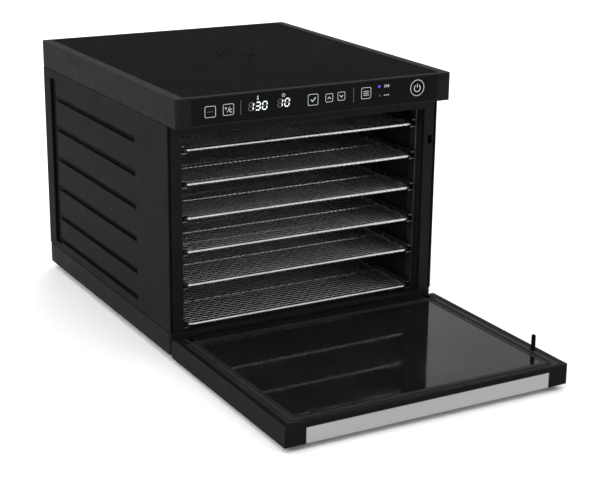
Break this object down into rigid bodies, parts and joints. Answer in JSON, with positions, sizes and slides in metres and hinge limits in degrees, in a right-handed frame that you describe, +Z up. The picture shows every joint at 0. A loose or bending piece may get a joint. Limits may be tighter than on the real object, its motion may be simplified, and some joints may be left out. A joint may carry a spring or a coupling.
{
  "type": "food dehydrator",
  "caption": "Cabinet food dehydrator with a drop-down smoked-glass door, a touch panel in its overhanging top cover, sliding wire-mesh trays and a rear fan with a heating coil.",
  "frame": {"origin": "on the table, under the middle of the cabinet between its four feet", "axes": "+Z up, -Y towards the user and the opening door, +X to the user's right"},
  "size_m": [0.345, 0.6445, 0.3],
  "materials": {
    "cabinet_plastic": "fine-grained matte black",
    "side_plastic": "fine-grained matte black, slightly blue",
    "bezel_plastic": "matte black",
    "cover_plastic": "fine-grained matte black",
    "rubber": "moulded rubber",
    "screw_steel": "zinc plated",
    "grille_plastic": "matte black",
    "touch_glass": "polished black",
    "display": "dark segments window",
    "circuit_board": "solder mask",
    "lining": "black enamel",
    "rail_steel": "dark coated wire",
    "bracket_steel": "zinc plated",
    "motor_steel": "satin",
    "heater_wire": "oxidised",
    "mica": "mica and ceramic",
    "fan_aluminium": "stamped",
    "shaft_steel": "ground",
    "door_plastic": "fine-grained matte black",
    "door_trim": "satin black",
    "smoked_glass": "dark smoked",
    "handle_metal": "satin silver",
    "tray_steel": "polished stainless",
    "mesh_steel": "woven stainless wire"
  },
  "bodies": {
    "cabinet": {"base_tray": "cabinet_plastic", "feet": "rubber", "base_screws": "screw_steel", "left_side_panel": "side_plastic", "right_side_panel": "side_plastic", "back_panel": "cabinet_plastic", "back_screws": "screw_steel", "rear_intake_grille": "grille_plastic", "top_cover": "cover_plastic", "top_plate": "cover_plastic", "cover_screws": "screw_steel", "control_panel": "touch_glass", "display_module": "display", "control_board": "circuit_board", "power_board": "circuit_board", "front_bezel": "bezel_plastic", "liner_left": "lining", "liner_right": "lining", "liner_top": "lining", "liner_floor": "lining", "left_rail_rack": "rail_steel", "right_rail_rack": "rail_steel", "fan_shroud": "lining", "inner_grille": "rail_steel", "heater_coil": "heater_wire", "heater_frame": "mica", "motor": "motor_steel", "motor_bracket": "bracket_steel", "thermostat": "mica", "thermal_fuse": "mica", "temperature_probe": "motor_steel", "power_inlet": "grille_plastic", "door_switch": "grille_plastic", "hinge_bracket_left": "bracket_steel", "hinge_bracket_right": "bracket_steel"},
    "door": {"door_frame": "door_plastic", "door_inner_frame": "door_trim", "door_window": "smoked_glass", "door_inner_pane": "smoked_glass", "door_handle_strip": "handle_metal", "door_seal": "rubber", "door_switch_tab": "grille_plastic", "door_clips": "door_trim", "hinge_pins": "shaft_steel"},
    "fan": {"fan_impeller": "fan_aluminium", "fan_shaft": "shaft_steel"},
    "tray_1": {"tray_1_frame": "tray_steel", "tray_1_mesh": "mesh_steel"},
    "tray_2": {"tray_2_frame": "tray_steel", "tray_2_mesh": "mesh_steel"},
    "tray_3": {"tray_3_frame": "tray_steel", "tray_3_mesh": "mesh_steel"},
    "tray_4": {"tray_4_frame": "tray_steel", "tray_4_mesh": "mesh_steel"},
    "tray_5": {"tray_5_frame": "tray_steel", "tray_5_mesh": "mesh_steel"},
    "tray_6": {"tray_6_frame": "tray_steel", "tray_6_mesh": "mesh_steel"}
  },
  "joints": [
    {"name": "door_hinge", "type": "hinge", "parent": "cabinet", "child": "door", "pos_m": [0, -0.2025, 0.017], "axis": [-1, 0, 0], "range_deg": [0, 90]},
    {"name": "tray_1_slide", "type": "slide", "parent": "cabinet", "child": "tray_1", "axis": [0, 1, 0], "range_m": [-0.065, 0]},
    {"name": "tray_2_slide", "type": "slide", "parent": "cabinet", "child": "tray_2", "axis": [0, 1, 0], "range_m": [-0.117, 0]},
    {"name": "tray_3_slide", "type": "slide", "parent": "cabinet", "child": "tray_3", "axis": [0, 1, 0], "range_m": [-0.1395, 0]},
    {"name": "tray_4_slide", "type": "slide", "parent": "cabinet", "child": "tray_4", "axis": [0, 1, 0], "range_m": [-0.168, 0]},
    {"name": "tray_5_slide", "type": "slide", "parent": "cabinet", "child": "tray_5", "axis": [0, 1, 0], "range_m": [-0.211, 0]},
    {"name": "tray_6_slide", "type": "slide", "parent": "cabinet", "child": "tray_6", "axis": [0, 1, 0], "range_m": [-0.253, 0]},
    {"name": "fan_spin", "type": "hinge", "parent": "cabinet", "child": "fan", "pos_m": [0, 0.146, 0.148], "axis": [0, 1, 0], "continuous": true}
  ]
}
